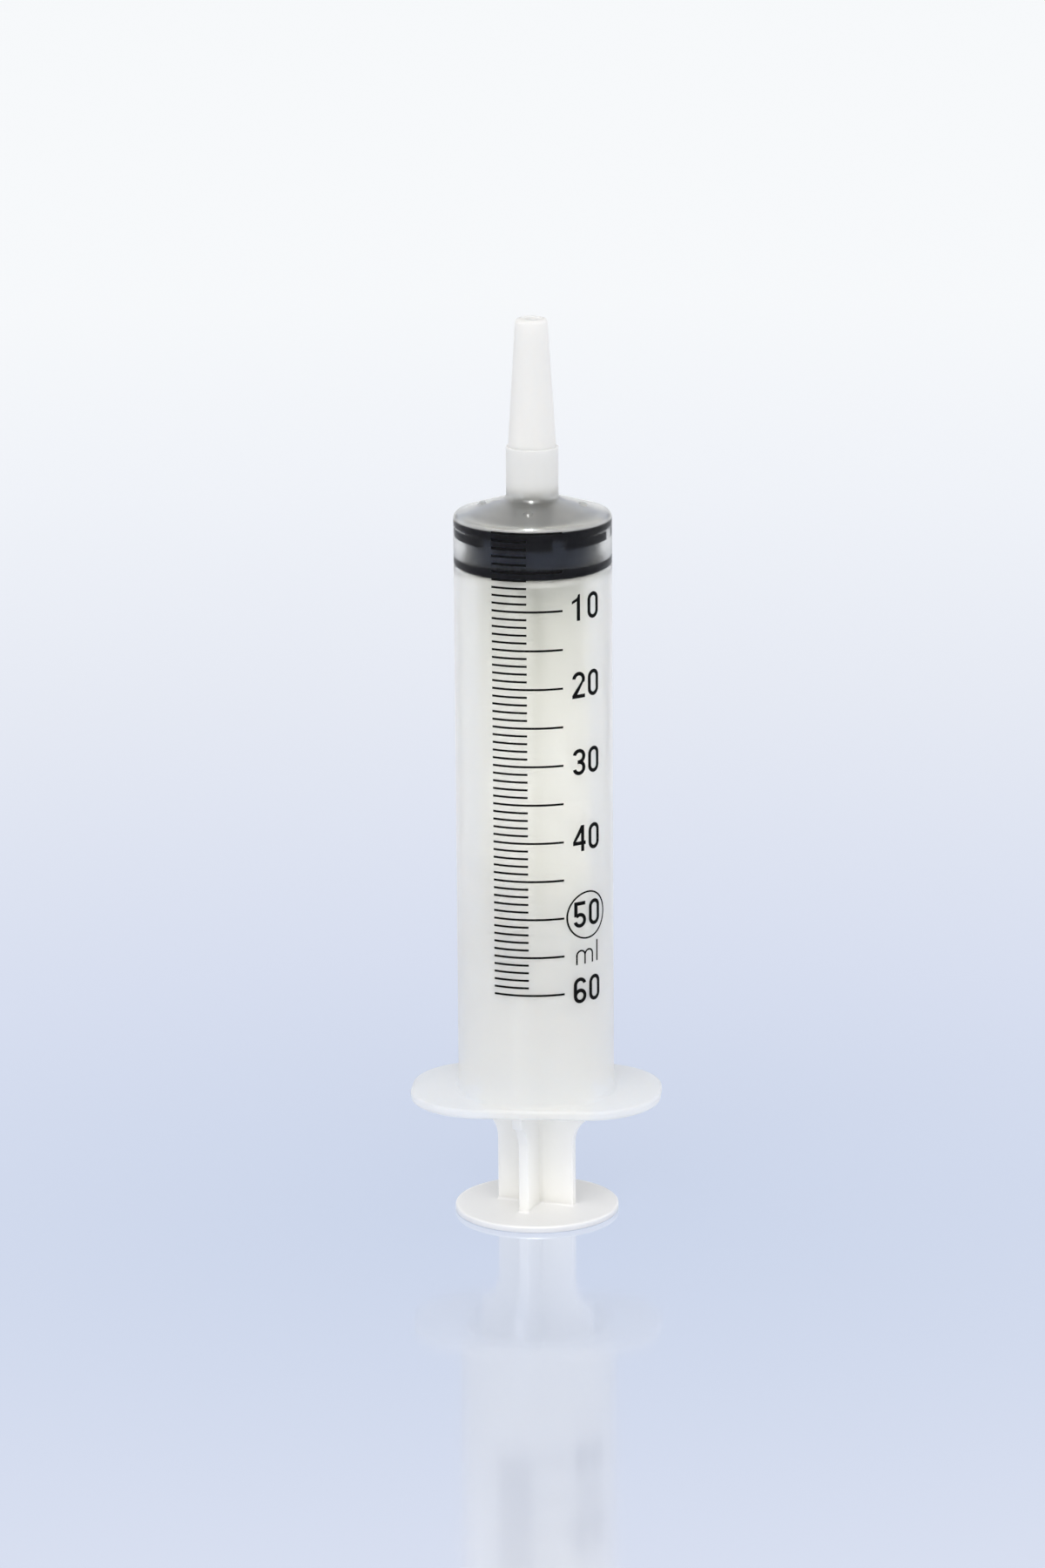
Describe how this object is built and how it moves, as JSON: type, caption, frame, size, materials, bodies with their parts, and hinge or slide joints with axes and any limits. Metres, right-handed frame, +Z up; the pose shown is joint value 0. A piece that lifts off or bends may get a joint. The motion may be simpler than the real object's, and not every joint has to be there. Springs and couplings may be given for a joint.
{
  "type": "catheter tip syringe",
  "caption": "Large syringe with a long tapered catheter tip, an oval finger flange, a printed scale and a cross-shaped plunger rod with a round thumb rest.",
  "frame": {"origin": "on the barrel's axis, at the underside of the thumb rest that it stands on", "axes": "+Z up along the axis towards the nozzle, X along the finger flange, -Y out of the middle of the printed scale"},
  "size_m": [0.0502, 0.034, 0.1822],
  "materials": {
    "barrel_plastic": "milky translucent polypropylene, smooth",
    "rod_plastic": "white polypropylene, satin",
    "gasket_rubber": "black rubber, oiled and smooth",
    "scale_ink": "black printed ink"
  },
  "bodies": {
    "plunger": {"plunger_rod": "rod_plastic"},
    "seal": {"gasket": "gasket_rubber"},
    "barrel_body": {"barrel": "barrel_plastic", "graduations_1ml": "scale_ink", "graduations_5ml": "scale_ink", "scale_numerals": "scale_ink", "capacity_ring": "scale_ink", "unit_mark": "scale_ink"}
  },
  "joints": [
    {"name": "rod_spin", "type": "hinge", "parent": "plunger", "child": "seal", "pos_m": [0, 0, 0.1382], "axis": [0, 0, 1], "continuous": true},
    {"name": "barrel_slide", "type": "slide", "parent": "seal", "child": "barrel_body", "axis": [0, 0, 1], "range_m": [0, 0.103]}
  ]
}
